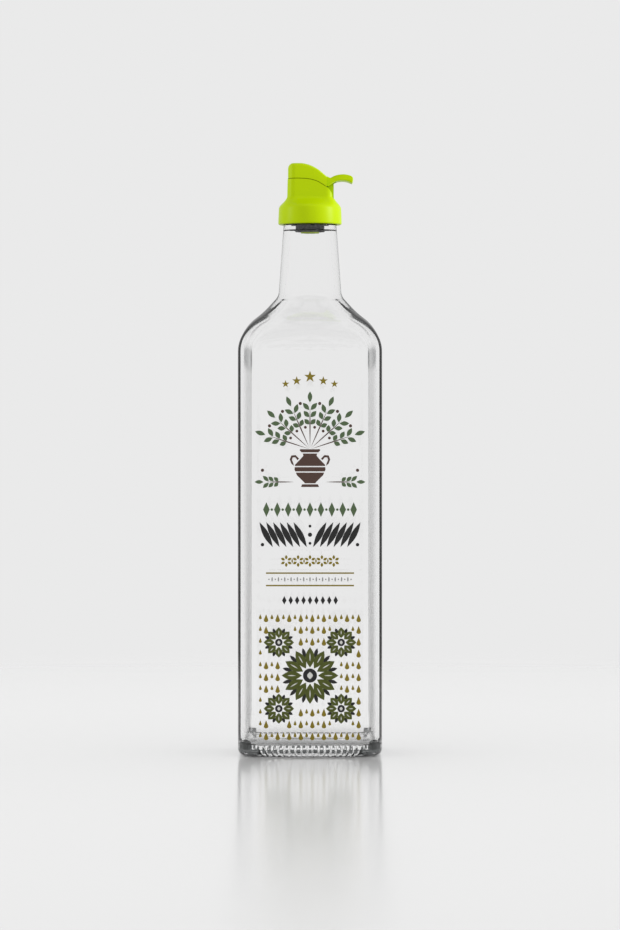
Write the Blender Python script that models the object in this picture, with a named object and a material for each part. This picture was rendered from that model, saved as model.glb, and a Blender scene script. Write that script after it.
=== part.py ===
"""A square glass oil bottle with a lime pourer, a rubber stopper and a hinged flip lid.

The bottle stands on Z = 0 with its axis on Z. The printed front faces -Y and the
thumb lever of the lid points along +X.
"""

import math

import bmesh
import bpy
from mathutils import Matrix, Vector

MM = 0.001

# Bottle: outside
BODY_HALF = 37.25 * MM
BODY_CORNER = 11.0 * MM
HEEL_RADIUS = 4.25 * MM
SHOULDER_START = 209.0 * MM
SHOULDER_RADIUS = 22.5 * MM
SHOULDER_SLOPE = math.radians(53.0)
HOLLOW_RADIUS = 51.0 * MM
CONE_SLOPE = math.radians(43.0)
NECK_START = 240.8 * MM
NECK_START_RADIUS = 16.3 * MM
NECK_FILLET = 6.5 * MM
NECK_TAPER = 0.0725
LIP_TOP = 284.0 * MM
LIP_ROUND = 0.8 * MM

# Bottle: inside
WALL = 3.0 * MM
INSIDE_CORNER = 8.0 * MM
BORE_RADIUS = 11.0 * MM
BORE_START = 262.0 * MM
FLOOR_EDGE = 6.0 * MM
FLOOR_CENTRE = 8.0 * MM
FLOOR_FILLET = 4.0 * MM

# Bottle: underside
BEARING_INSIDE = 30.0 * MM
PUSH_UP = 3.4 * MM
TEETH_PER_SIDE = 17
TOOTH_PITCH = 3.0 * MM
NOTCH_WIDTH = 0.95 * MM
NOTCH_DEPTH = 0.5 * MM
NOTCH_INNER_END = 31.4 * MM

# Stopper
GAP = 0.3 * MM
STOPPER_BORE = 5.1 * MM
STOPPER_BOTTOM = 271.6 * MM
STOPPER_RIM = 7.7 * MM
STOPPER_WAIST = 7.5 * MM
FIN_Z = 273.3 * MM
FIN_THICKNESS = 1.0 * MM
FIN_RADIUS = 10.6 * MM
TIER_Z = 274.6 * MM
TIER_RADIUS = 9.8 * MM
PLUG_Z = 275.2 * MM
PLUG_RADIUS = 10.7 * MM
FLANGE_RADIUS = 13.0 * MM
FLANGE_THICKNESS = 1.2 * MM

# Pourer
COLLAR_BOTTOM = 275.9 * MM
COLLAR_LOW_RADIUS = 16.6 * MM
COLLAR_HIGH_RADIUS = 16.3 * MM
COLLAR_TOP = 284.9 * MM
COLLAR_EDGE = 0.7 * MM
COLLAR_INSIDE = 14.1 * MM
SPOUT_START = 290.8 * MM
SPOUT_FRONT = -11.9 * MM
SPOUT_FRONT_TOP = -11.5 * MM
SPOUT_REAR = 12.2 * MM
SPOUT_HALF_WIDTH = 8.5 * MM
SPOUT_CORNER = 4.0 * MM
SPOUT_WALL = 1.5 * MM
TUBE_RADIUS = 4.8 * MM
TUBE_BORE = 3.2 * MM
TUBE_BOTTOM = 271.0 * MM
CEILING = LIP_TOP + 2 * GAP + FLANGE_THICKNESS
WELL_REAR = 7.6 * MM
WELL_REAR_Z = 290.6 * MM
WELL_FRONT_Z = 294.0 * MM

# Seam between pourer and lid, and the rear edge of the pourer's side walls, as X and Z
SEAM = [
    (-14.0, 299.65),
    (-11.5, 299.7),
    (-8.0, 299.75),
    (-5.2, 299.75),
    (-1.2, 299.5),
    (1.8, 298.9),
    (3.8, 298.2),
    (5.8, 297.1),
    (7.8, 295.8),
    (8.6, 295.3),
]
REAR_EDGE = [(9.3, 294.8), (10.4, 293.6), (11.2, 292.1), (11.6, 290.6), (11.85, 289.7)]
SEAM_GAP = 0.3 * MM
LEDGE_Z = 289.2 * MM
POST_FOOT = 288.0 * MM

# Hinge
HINGE_X = 10.8 * MM
HINGE_Z = 298.6 * MM
KNUCKLE_RADIUS = 1.6 * MM
POST_HALF_WIDTH = 3.0 * MM
PIN_RADIUS = 0.7 * MM
PIN_END = 1.0 * MM
LID_SWING = math.radians(50.0)

# Lid
LID_TOP = 307.85 * MM
LID_FRONT_ROUND = 3.0 * MM
LID_EDGE_ROUND = 1.6 * MM
LID_WALL = 1.5 * MM
LID_REAR = 8.8 * MM
LID_CROWN = [
    (-5.2, 307.85),
    (-3.2, 307.65),
    (-1.2, 307.2),
    (0.8, 306.5),
    (2.8, 305.45),
    (4.8, 304.2),
    (6.8, 302.5),
    (8.8, 300.75),
]

# Thumb lever, as X and Z
LEVER_TOP = [
    (8.0, 301.15),
    (9.2, 300.75),
    (10.6, 300.15),
    (12.2, 300.9),
    (14.2, 301.6),
    (16.8, 301.95),
    (18.8, 301.85),
    (20.8, 301.4),
    (21.9, 300.8),
]
LEVER_TIP = [(22.4, 300.1), (22.5, 299.1), (22.3, 298.1), (21.9, 297.5)]
LEVER_BOTTOM = [
    (19.8, 298.35),
    (17.8, 298.75),
    (15.8, 298.75),
    (13.8, 298.35),
    (12.2, 297.55),
    (10.8, 296.6),
    (9.3, 295.8),
    (8.7, 295.8),
    (8.0, 296.8),
]
LEVER_HALF_WIDTH = 6.25 * MM

CORNER_STEPS = 9


def clear_scene():
    """Remove whatever the scene holds."""
    for obj in list(bpy.data.objects):
        bpy.data.objects.remove(obj, do_unlink=True)


def make_material(name, color, roughness, transmission=0.0):
    """A plain Principled material."""
    material = bpy.data.materials.new(name)
    material.use_nodes = True
    shader = material.node_tree.nodes["Principled BSDF"]
    shader.inputs["Base Color"].default_value = (*color, 1.0)
    shader.inputs["Roughness"].default_value = roughness
    shader.inputs["Metallic"].default_value = 0.0
    shader.inputs["Transmission Weight"].default_value = transmission
    shader.inputs["IOR"].default_value = 1.5
    return material


def make_object(name, bm, material=None):
    """Turn a bmesh into an object whose faces point outwards."""
    bmesh.ops.recalc_face_normals(bm, faces=bm.faces)
    mesh = bpy.data.meshes.new(name)
    bm.to_mesh(mesh)
    bm.free()
    obj = bpy.data.objects.new(name, mesh)
    bpy.context.scene.collection.objects.link(obj)
    if material:
        mesh.materials.append(material)
    return obj


def shade(obj, degrees=35.0):
    """Smooth shading that keeps the sharp edges."""
    obj.data.shade_smooth()
    obj.data.set_sharp_from_angle(angle=math.radians(degrees))


def rounded_ring(low_x, high_x, half_y, corner, z):
    """Points round a rectangle with round corners. Equal sizes give a circle."""
    centres = [
        (high_x - corner, half_y - corner, 0.0),
        (low_x + corner, half_y - corner, 0.5 * math.pi),
        (low_x + corner, corner - half_y, math.pi),
        (high_x - corner, corner - half_y, 1.5 * math.pi),
    ]
    points = []
    for x, y, start in centres:
        for step in range(CORNER_STEPS + 1):
            angle = start + 0.5 * math.pi * step / CORNER_STEPS
            points.append((x + corner * math.cos(angle), y + corner * math.sin(angle), z))
    return points


def square_ring(half, corner, z):
    """A rounded square. Full circles keep a sliver of each flat, so no points coincide."""
    corner = min(corner, half - 0.02 * MM)
    return rounded_ring(-half, half, half, corner, z)


def loft(bm, rings, hollow=False):
    """Fill a bmesh with the skin over rings of equal length. A hollow one closes on itself."""
    rows = [[bm.verts.new(point) for point in ring] for ring in rings]
    pairs = list(zip(rows, rows[1:]))
    if hollow:
        pairs.append((rows[-1], rows[0]))
    for low, high in pairs:
        for i in range(len(low)):
            j = (i + 1) % len(low)
            bm.faces.new((low[i], low[j], high[j], high[i]))
    if not hollow:
        bm.faces.new(rows[0])
        bm.faces.new(rows[-1])


def loft_object(name, rings, material=None, hollow=False):
    bm = bmesh.new()
    loft(bm, rings, hollow)
    return make_object(name, bm, material)


def prism(name, outline, low_y, high_y):
    """An outline in X and Z, drawn out along Y."""
    rings = [[(x, y, z) for x, z in outline] for y in (low_y, high_y)]
    return loft_object(name, rings)


def hide_helper(obj):
    obj.hide_render = True
    obj.display_type = "WIRE"


def boolean(obj, helper, operation):
    """Cut or join with a helper object, which stays out of the model."""
    modifier = obj.modifiers.new(f"{operation.title()} {helper.name}", "BOOLEAN")
    modifier.operation = operation
    modifier.solver = "EXACT"
    modifier.object = helper
    hide_helper(helper)


def in_metres(points):
    return [(x * MM, z * MM) for x, z in points]


def read_curve(points, x):
    """The height of a curve given by points in millimetres, at x in metres."""
    points = in_metres(points)
    if x <= points[0][0]:
        return points[0][1]
    for (x0, z0), (x1, z1) in zip(points, points[1:]):
        if x <= x1:
            return z0 + (z1 - z0) * (x - x0) / (x1 - x0)
    return points[-1][1]


def corner_at(half, full_half, full_corner, neck_radius):
    """Corner radius on the shoulder: it grows until the section is round at the neck."""
    share = (full_half - half) / (full_half - neck_radius)
    flat = (full_half - full_corner) * (1.0 - share) ** 0.8
    return half - flat


def heel_profile(steps=5):
    """Half width and height round the heel, from the bearing face to the wall."""
    centre = BODY_HALF - HEEL_RADIUS
    for step in range(steps + 1):
        angle = 0.5 * math.pi * step / steps
        yield centre + HEEL_RADIUS * math.sin(angle), HEEL_RADIUS * (1 - math.cos(angle))


def hollow_arc(centre_x, centre_z, radius, start, end, steps):
    """Half width and height along an arc that curves in, whose centre is outside the glass."""
    for step in range(steps + 1):
        angle = start + (end - start) * step / steps
        yield centre_x - radius * math.cos(angle), centre_z - radius * math.sin(angle)


def shoulder_profile(offset=0.0):
    """Half width and height up the shoulder, moved inwards by an offset."""
    arc_x = BODY_HALF - SHOULDER_RADIUS
    for step in range(6):
        angle = SHOULDER_SLOPE * step / 6
        radius = SHOULDER_RADIUS - offset
        yield arc_x + radius * math.cos(angle), SHOULDER_START + radius * math.sin(angle)
    reach = SHOULDER_RADIUS + HOLLOW_RADIUS
    hollow_x = arc_x + reach * math.cos(SHOULDER_SLOPE)
    hollow_z = SHOULDER_START + reach * math.sin(SHOULDER_SLOPE)
    radius = HOLLOW_RADIUS + offset
    yield from hollow_arc(hollow_x, hollow_z, radius, SHOULDER_SLOPE, CONE_SLOPE, 2)
    top_angle = math.atan(NECK_TAPER)
    fillet_x = NECK_START_RADIUS + NECK_FILLET * math.cos(top_angle)
    fillet_z = NECK_START + NECK_FILLET * math.sin(top_angle)
    yield from hollow_arc(fillet_x, fillet_z, NECK_FILLET + offset, CONE_SLOPE, top_angle, 4)


def neck_radius(z):
    return NECK_START_RADIUS - NECK_TAPER * (z - NECK_START)


def bottle_outside():
    """Rings from the middle of the underside, round the heel and up to the neck."""
    yield square_ring(9.0 * MM, 9.0 * MM, PUSH_UP)
    yield square_ring(20.0 * MM, 15.0 * MM, 0.8 * PUSH_UP)
    yield square_ring(27.0 * MM, 11.0 * MM, 0.35 * PUSH_UP)
    yield square_ring(BEARING_INSIDE, 8.0 * MM, 0.0)
    for half, z in heel_profile():
        yield square_ring(half, BODY_CORNER - (BODY_HALF - half) * 0.6, z)
    for half, z in shoulder_profile():
        corner = corner_at(half, BODY_HALF, BODY_CORNER, NECK_START_RADIUS)
        yield square_ring(half, corner, z)


def bottle_inside():
    """Rings from the neck down to the middle of the inner floor."""
    inside_half = BODY_HALF - WALL
    inside_neck = NECK_START_RADIUS - WALL
    for half, z in reversed(list(shoulder_profile(WALL))):
        corner = corner_at(half, inside_half, INSIDE_CORNER, inside_neck)
        yield square_ring(half, corner, z)
    for step in range(5):
        angle = 0.5 * math.pi * step / 4
        half = inside_half - FLOOR_FILLET * (1 - math.cos(angle))
        z = FLOOR_EDGE + FLOOR_FILLET * (1 - math.sin(angle))
        yield square_ring(half, INSIDE_CORNER - (inside_half - half), z)
    for share in (0.7, 0.4, 0.15):
        half = inside_half * share
        z = FLOOR_CENTRE - (FLOOR_CENTRE - FLOOR_EDGE) * share**2
        yield square_ring(half, half * (1.0 - 0.8 * share), z)


def neck_rings():
    """Rings of the round neck: up the outside, over the lip and down the bore."""
    yield list(bottle_outside())[-1]
    for z in (LIP_TOP - 14 * MM, LIP_TOP - LIP_ROUND):
        yield square_ring(neck_radius(z), neck_radius(z), z)
    lip = neck_radius(LIP_TOP) - LIP_ROUND
    yield square_ring(lip, lip, LIP_TOP)
    yield square_ring(BORE_RADIUS, BORE_RADIUS, LIP_TOP)
    yield square_ring(BORE_RADIUS, BORE_RADIUS, BORE_START)
    yield next(bottle_inside())


def notch_outline():
    """A notch across the heel, as distance from the axis and height."""
    centre = BODY_HALF - HEEL_RADIUS
    outline = []
    for degrees, share in ((8, 0.0), (24, 1.0), (46, 1.0), (68, 1.0), (90, 1.0)):
        angle = math.radians(degrees)
        radius = HEEL_RADIUS - share * NOTCH_DEPTH
        outline.append(
            (centre + radius * math.cos(angle), HEEL_RADIUS - radius * math.sin(angle))
        )
    outline.append((NOTCH_INNER_END, NOTCH_DEPTH))
    outline.append((NOTCH_INNER_END, -1 * MM))
    outline.append((BODY_HALF + 1 * MM, -1 * MM))
    outline.append((BODY_HALF + 1 * MM, outline[0][1]))
    return outline


def make_notches():
    """Narrow notches across the heel that leave a row of teeth on each side."""
    bm = bmesh.new()
    for side in range(4):
        turn = Matrix.Rotation(0.5 * math.pi * side, 3, "Z")
        for number in range(TEETH_PER_SIDE + 1):
            along = (number - 0.5 * TEETH_PER_SIDE) * TOOTH_PITCH
            rings = []
            for x in (along - 0.5 * NOTCH_WIDTH, along + 0.5 * NOTCH_WIDTH):
                rings.append([turn @ Vector((x, -out, z)) for out, z in notch_outline()])
            loft(bm, rings)
    return make_object("heel_notches", bm)


def make_bottle():
    """The glass up to the neck: one wall round an open inside, on a toothed heel."""
    glass = make_material("clear_glass", (0.95, 0.96, 0.95), 0.02, 1.0)
    rings = list(bottle_outside()) + list(bottle_inside())
    bottle = loft_object("bottle", rings, glass)
    boolean(bottle, make_notches(), "DIFFERENCE")
    return bottle


def make_neck():
    """The round neck of the same glass, which meets the shoulder on one ring."""
    return loft_object("neck", list(neck_rings()), bpy.data.materials["clear_glass"], True)


def turned(name, profile, material=None):
    """A ring-shaped solid turned from a closed profile of radius and height."""
    bm = bmesh.new()
    steps = 4 * CORNER_STEPS
    rows = []
    for step in range(steps):
        angle = 2 * math.pi * step / steps
        rows.append(
            [bm.verts.new((r * math.cos(angle), r * math.sin(angle), z)) for r, z in profile]
        )
    for i in range(steps):
        row, after = rows[i], rows[(i + 1) % steps]
        for j in range(len(profile)):
            k = (j + 1) % len(profile)
            bm.faces.new((row[j], after[j], after[k], row[k]))
    return make_object(name, bm, material)


def make_stopper():
    """The rubber stopper: a plug with a sealing fin, hung on the lip by its flange."""
    rubber = make_material("black_rubber", (0.012, 0.012, 0.013), 0.55)
    low_fin = FIN_Z - 0.5 * FIN_THICKNESS
    high_fin = FIN_Z + 0.5 * FIN_THICKNESS
    flange_z = LIP_TOP + GAP
    profile = [
        (STOPPER_BORE, STOPPER_BOTTOM),
        (STOPPER_RIM - 0.3 * MM, STOPPER_BOTTOM),
        (STOPPER_RIM, STOPPER_BOTTOM + 0.3 * MM),
        (STOPPER_RIM, STOPPER_BOTTOM + 0.8 * MM),
        (STOPPER_WAIST, low_fin),
        (FIN_RADIUS, low_fin),
        (FIN_RADIUS, high_fin),
        (STOPPER_WAIST, high_fin),
        (STOPPER_WAIST, TIER_Z),
        (TIER_RADIUS, TIER_Z),
        (TIER_RADIUS, PLUG_Z),
        (PLUG_RADIUS, PLUG_Z),
        (PLUG_RADIUS, flange_z),
        (FLANGE_RADIUS, flange_z),
        (FLANGE_RADIUS, flange_z + FLANGE_THICKNESS),
        (STOPPER_BORE, flange_z + FLANGE_THICKNESS),
    ]
    return turned("stopper", profile, rubber)


def pourer_rings():
    """Rings of the round collar, the concave flare and the spout above it."""
    yield square_ring(COLLAR_LOW_RADIUS - COLLAR_EDGE, COLLAR_LOW_RADIUS, COLLAR_BOTTOM)
    for degrees in (45, 90):
        angle = math.radians(degrees)
        radius = COLLAR_LOW_RADIUS - COLLAR_EDGE * (1 - math.sin(angle))
        yield square_ring(radius, radius, COLLAR_BOTTOM + COLLAR_EDGE * (1 - math.cos(angle)))
    top = COLLAR_HIGH_RADIUS
    yield square_ring(top, top, COLLAR_TOP - 0.9 * MM)
    steps = 7
    for step in range(steps + 1):
        share = step / steps
        blend = math.sin(0.5 * math.pi * share) ** 1.5
        radius = top - 0.25 * MM
        low_x = -radius + (SPOUT_FRONT + radius) * blend
        high_x = radius + (SPOUT_REAR - radius) * blend
        half_y = radius + (SPOUT_HALF_WIDTH - radius) * blend
        corner = min(radius + (SPOUT_CORNER - radius) * blend, half_y - 0.02 * MM)
        z = COLLAR_TOP + (SPOUT_START - COLLAR_TOP) * share
        yield rounded_ring(low_x, high_x, half_y, corner, z)
    top_z = LID_TOP
    lean = (SPOUT_FRONT_TOP - SPOUT_FRONT) / (SEAM[1][1] * MM - SPOUT_START)
    front = SPOUT_FRONT + lean * (top_z - SPOUT_START)
    yield rounded_ring(front, SPOUT_REAR, SPOUT_HALF_WIDTH, SPOUT_CORNER, top_z)


def above_seam():
    """What is taken off the spout: all above the seam and behind the side walls."""
    outline = [(x, z - 0.5 * SEAM_GAP) for x, z in in_metres(SEAM)]
    outline += in_metres(REAR_EDGE)
    outline += [(12.0 * MM, LEDGE_Z), (20.0 * MM, LEDGE_Z)]
    outline += [(20.0 * MM, LID_TOP + 5 * MM), (SEAM[0][0] * MM, LID_TOP + 5 * MM)]
    return prism("above_seam", outline, -12 * MM, 12 * MM)


def arc(centre_x, centre_z, radius, start, end, steps):
    """Points on a circle in X and Z, from one angle in degrees to another."""
    points = []
    for step in range(steps + 1):
        angle = math.radians(start + (end - start) * step / steps)
        points.append((centre_x + radius * math.cos(angle), centre_z + radius * math.sin(angle)))
    return points


def hinge_post():
    """The narrow post behind the well, with a round head about the hinge axis."""
    left = HINGE_X - KNUCKLE_RADIUS
    right = HINGE_X + KNUCKLE_RADIUS
    outline = arc(HINGE_X, HINGE_Z, KNUCKLE_RADIUS, 0, 180, 10)
    outline += [(left, POST_FOOT), (right, POST_FOOT)]
    return prism("hinge_post", outline, -POST_HALF_WIDTH, POST_HALF_WIDTH)


def spout_well():
    """The space under the lid, with a deck that drains back to the pour channel."""
    top = LID_TOP
    front = SPOUT_FRONT_TOP + SPOUT_WALL
    half = SPOUT_HALF_WIDTH - SPOUT_WALL
    corner = SPOUT_CORNER - SPOUT_WALL
    low = rounded_ring(front, WELL_REAR, half, corner, 0.0)
    slope = (WELL_REAR_Z - WELL_FRONT_Z) / (WELL_REAR - front)
    floor = [(x, y, WELL_FRONT_Z + slope * (x - front)) for x, y, _ in low]
    return loft_object("spout_well", [floor, [(x, y, top) for x, y, _ in low]])


def make_pourer():
    """The lime collar, spout and hinge post, with the pour channel through the deck."""
    lime = make_material("lime_plastic", (0.39, 0.53, 0.01), 0.3)
    pourer = loft_object("pourer", list(pourer_rings()), lime)
    boolean(pourer, above_seam(), "DIFFERENCE")
    boolean(pourer, hinge_post(), "UNION")
    boolean(pourer, spout_well(), "DIFFERENCE")
    hollow = [
        square_ring(COLLAR_INSIDE, COLLAR_INSIDE, z) for z in (COLLAR_BOTTOM - 2 * MM, CEILING)
    ]
    boolean(pourer, loft_object("collar_hollow", hollow), "DIFFERENCE")
    channel = [square_ring(TUBE_BORE, TUBE_BORE, z) for z in (CEILING - 2 * MM, LID_TOP)]
    boolean(pourer, loft_object("pour_channel", channel), "DIFFERENCE")
    pin_hole = arc(HINGE_X, HINGE_Z, PIN_RADIUS + GAP, 0, 330, 11)
    boolean(pourer, prism("pin_hole", pin_hole, -5 * MM, 5 * MM), "DIFFERENCE")
    return pourer


def make_tube():
    """The pour tube down through the stopper, which meets the pourer's ceiling."""
    ends = ((TUBE_RADIUS, TUBE_BOTTOM), (TUBE_RADIUS, CEILING), (TUBE_BORE, CEILING))
    ends += ((TUBE_BORE, TUBE_BOTTOM),)
    rings = [square_ring(radius, radius, z) for radius, z in ends]
    return loft_object("tube", rings, bpy.data.materials["lime_plastic"], True)


def lid_section(x, inset, half_y, low_z, high_z):
    """A section across the lid with round top corners."""
    half = half_y - inset
    radius = max(LID_EDGE_ROUND - inset, 0.3 * MM)
    ring = [(x, -half, low_z)]
    for degrees in range(180, 89, -18):
        angle = math.radians(degrees)
        y = -half + radius + radius * math.cos(angle)
        ring.append((x, y, high_z - radius + radius * math.sin(angle)))
    ring += [(x, -y, z) for _, y, z in reversed(ring)]
    return ring


def lid_rings(inset, low_z):
    """Sections from the round front corners to the rear wall. low_z is a function of x."""
    front = SPOUT_FRONT_TOP + inset
    corner = SPOUT_CORNER - inset
    crown_round = LID_FRONT_ROUND - 0.6 * inset
    stations = [front + corner * (1 - math.cos(math.radians(a))) for a in (5, 22, 40, 58, 75, 90)]
    rear = LID_REAR - inset
    count = 11
    start = stations[-1]
    stations += [start + (rear - start) * n / count for n in range(1, count + 1)]
    for x in stations:
        half_y = SPOUT_HALF_WIDTH
        reach = front + corner - x
        if reach > 0:
            half_y -= corner - math.sqrt(corner**2 - reach**2)
        top = read_curve(LID_CROWN, x) - inset
        over = front + crown_round - x
        if over > 0:
            top -= crown_round - math.sqrt(max(crown_round**2 - over**2, 0.0))
        yield lid_section(x, inset, half_y, low_z(x), top)


def lever_outline():
    return in_metres(LEVER_TOP + LEVER_TIP + LEVER_BOTTOM)


def lever_slot():
    """Room for the post in the middle of the lever, through the lid's whole swing."""
    radius = KNUCKLE_RADIUS + GAP
    reach = 9.0 * MM
    swing = math.degrees(LID_SWING) + 3
    outline = [(HINGE_X - radius, HINGE_Z - reach)]
    outline += arc(HINGE_X, HINGE_Z, radius, 180, 90 - swing, 12)
    last_x, last_z = outline[-1]
    away = math.radians(-swing + 10)
    outline.append((last_x + reach * math.cos(away), last_z + reach * math.sin(away)))
    outline.append((last_x + 2 * MM, HINGE_Z - reach))
    half = POST_HALF_WIDTH + GAP
    return prism("lever_slot", outline, -half, half)


def make_pin(side):
    """A stub pin on the inner face of one ear."""
    outer = side * (POST_HALF_WIDTH + 1.5 * MM)
    inner = side * PIN_END
    outline = arc(HINGE_X, HINGE_Z, PIN_RADIUS, 0, 330, 11)
    name = "front_pin" if side < 0 else "back_pin"
    return prism(name, outline, min(outer, inner), max(outer, inner))


def make_lid():
    """The hollow flip lid and its thumb lever, one moving piece on two stub pins."""
    lime = bpy.data.materials["lime_plastic"]
    outside = lid_rings(0.0, lambda x: read_curve(SEAM, x) + 0.5 * SEAM_GAP)
    lid = loft_object("lid", list(outside), lime)
    lever = prism("lever", lever_outline(), -LEVER_HALF_WIDTH, LEVER_HALF_WIDTH)
    boolean(lid, lever, "UNION")
    inside = lid_rings(LID_WALL, lambda x: SPOUT_START)
    boolean(lid, loft_object("lid_hollow", list(inside)), "DIFFERENCE")
    boolean(lid, lever_slot(), "DIFFERENCE")
    for side in (-1, 1):
        boolean(lid, make_pin(side), "UNION")
    return lid


def main():
    clear_scene()
    make_bottle()
    make_neck()
    make_stopper()
    make_pourer()
    make_tube()
    make_lid()
    for name in ("bottle", "neck", "stopper", "pourer", "tube", "lid"):
        shade(bpy.data.objects[name])


main()
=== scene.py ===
"""A square glass oil bottle with a lime pourer, dressed for a studio picture."""

import math

import bmesh
import bpy
from bpy.props import FloatProperty, FloatVectorProperty, PointerProperty
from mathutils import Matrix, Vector


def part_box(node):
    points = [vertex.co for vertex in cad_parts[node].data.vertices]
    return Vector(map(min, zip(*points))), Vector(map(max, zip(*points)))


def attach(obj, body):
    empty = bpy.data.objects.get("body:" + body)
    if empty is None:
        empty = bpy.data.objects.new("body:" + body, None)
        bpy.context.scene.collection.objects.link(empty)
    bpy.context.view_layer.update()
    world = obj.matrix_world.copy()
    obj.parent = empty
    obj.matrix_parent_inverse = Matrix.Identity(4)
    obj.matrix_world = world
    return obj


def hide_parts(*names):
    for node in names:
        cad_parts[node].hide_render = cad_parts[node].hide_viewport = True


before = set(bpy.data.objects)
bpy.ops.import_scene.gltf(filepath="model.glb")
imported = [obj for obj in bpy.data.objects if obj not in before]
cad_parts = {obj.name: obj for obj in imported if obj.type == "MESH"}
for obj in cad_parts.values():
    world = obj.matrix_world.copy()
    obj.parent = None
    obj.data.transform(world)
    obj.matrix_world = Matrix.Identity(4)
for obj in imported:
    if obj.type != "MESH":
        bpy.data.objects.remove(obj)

bl_info = {
    "name": "Oil Cruet",
    "version": (1, 0, 0),
    "blender": (4, 5, 0),
    "location": "3D View > Sidebar > Cruet",
    "description": "Models a square glass oil bottle, its pourer, flip lid and printed front",
    "category": "Object",
}

MM = 0.001
BODY = "bottle"
LID = "lid"
BOTTLE_LOW, BOTTLE_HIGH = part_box("bottle")
_, NECK_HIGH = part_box("neck")
TUBE_LOW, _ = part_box("tube")
POURER_LOW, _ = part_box("pourer")
_, LID_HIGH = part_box("lid")
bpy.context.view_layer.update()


def size(name, description, default):
    """A length property in metres, from a value in millimetres."""
    return FloatProperty(
        name=name, description=description, default=default * MM, unit="LENGTH", precision=5
    )


def colour(name, description, default):
    """A colour property, from 0 to 255 steps as a picture shows them."""
    return FloatVectorProperty(
        name=name,
        description=description,
        default=[shown_to_linear(step) for step in default],
        subtype="COLOR",
        size=3,
        min=0.0,
        max=1.0,
    )


def shown_to_linear(step):
    """A step of 0 to 255 on the screen as a linear light value."""
    value = step / 255.0
    if value <= 0.04045:
        return value / 12.92
    return ((value + 0.055) / 1.055) ** 2.4


class BottleSizes(bpy.types.PropertyGroup):
    """Sizes of the glass."""

    corner: size("Corner", "Radius of the body's upright corners", 11.0)
    wall: size("Wall", "Thickness of the glass", 3.0)
    inside_corner: size("Inside corner", "Radius of the inner corners", 8.0)
    heel: size("Heel", "Radius of the rounding at the foot", 4.25)
    shoulder_start: size("Shoulder start", "Height where the shoulder begins", 209.0)
    shoulder_radius: size("Shoulder radius", "Radius of the shoulder's curve", 22.5)
    hollow_radius: size("Hollow radius", "Radius of the hollow curve over the shoulder", 51.0)
    neck_radius: size("Neck radius", "Radius of the neck at its start", 16.3)
    neck_fillet: size("Neck fillet", "Radius between the shoulder and the neck", 6.5)
    bore: size("Bore", "Radius of the mouth", 11.0)
    floor_centre: size("Floor centre", "Height of the inner floor at the axis", 8.0)
    floor_edge: size("Floor edge", "Height of the inner floor at the walls", 6.0)
    push_up: size("Push-up", "Depth of the hollow under the foot", 3.4)
    tooth_pitch: size("Tooth pitch", "Distance between the teeth of the heel", 3.0)
    tooth_depth: size("Tooth depth", "Depth of the notches between the teeth", 0.5)


class StopperSizes(bpy.types.PropertyGroup):
    """Sizes of the rubber stopper."""

    bottom: size("Bottom", "Height of the stopper's lowest rim", 271.6)
    waist: size("Waist", "Radius of the plug under its fin", 7.5)
    fin: size("Fin height", "Height of the sealing fin", 272.6)
    fin_thickness: size("Fin thickness", "Thickness of the sealing fin", 0.6)
    tier: size("Tier", "Height of the first step", 274.6)
    plug: size("Plug", "Height where the wide plug begins", 275.2)


class PourerSizes(bpy.types.PropertyGroup):
    """Sizes of the collar and the spout."""

    collar_low: size("Collar low radius", "Radius of the collar near its lower edge", 16.6)
    collar_high: size("Collar high radius", "Radius of the collar near its upper edge", 16.3)
    collar_top: size("Collar top", "Height of the collar's upper edge", 284.9)
    collar_inside: size("Collar inside", "Radius of the hollow round the neck", 14.1)
    spout_start: size("Spout start", "Height where the flare ends", 290.8)
    spout_front: size("Spout front", "Reach of the spout at the flare", 11.9)
    spout_front_top: size("Spout front top", "Reach of the spout at the seam", 11.5)
    spout_rear: size("Spout rear", "Reach of the spout's back", 12.4)
    spout_half_width: size("Spout half width", "Half the width across the spout", 8.5)
    spout_corner: size("Spout corner", "Radius of the spout's upright corners", 4.0)
    tube: size("Tube", "Radius of the tube through the stopper", 4.8)
    channel: size("Channel", "Radius of the pour channel", 3.2)


class LidSizes(bpy.types.PropertyGroup):
    """Sizes of the flip lid and its thumb lever."""

    wall: size("Wall", "Thickness of the lid's shell", 1.5)
    edge: size("Edge", "Radius of the rounded top edge", 1.6)
    front_round: size("Front rounding", "Radius where the front meets the top", 3.0)
    rear: size("Rear", "Reach of the lid's back wall", 8.8)
    lever_half_width: size("Lever half width", "Half the width of the thumb lever", 6.25)
    hinge_x: size("Hinge reach", "Distance of the hinge from the bottle's axis", 10.8)
    hinge_z: size("Hinge height", "Height of the hinge", 298.6)
    knuckle: size("Knuckle", "Radius of the post's round head", 1.6)
    post_half_width: size("Post half width", "Half the width of the hinge post", 3.0)


class PrintSizes(bpy.types.PropertyGroup):
    """Sizes of the printed front."""

    ink: size("Ink", "How far the ink stands proud of the glass", 0.04)
    highlight: size("Highlight", "How far the pale highlights stand proud", 0.06)
    bite: size("Bite", "How far the ink reaches into the glass", 0.02)
    column_pitch: size("Column pitch", "Distance between columns of drops", 5.94)
    row_pitch: size("Row pitch", "Distance between rows of drops", 6.06)
    drop_top: size("Drop top", "Height of the top row of drops", 73.7)
    rule_half: size("Rule half", "Half the length of the two rules", 22.6)
    jar_foot: size("Jar foot", "Height of the foot of the printed jar", 139.0)
    fan_root: size("Fan root", "Height where the stems leave the jar", 158.4)
    rosette_height: size("Rosette height", "Height of the middle rosette", 42.2)


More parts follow.
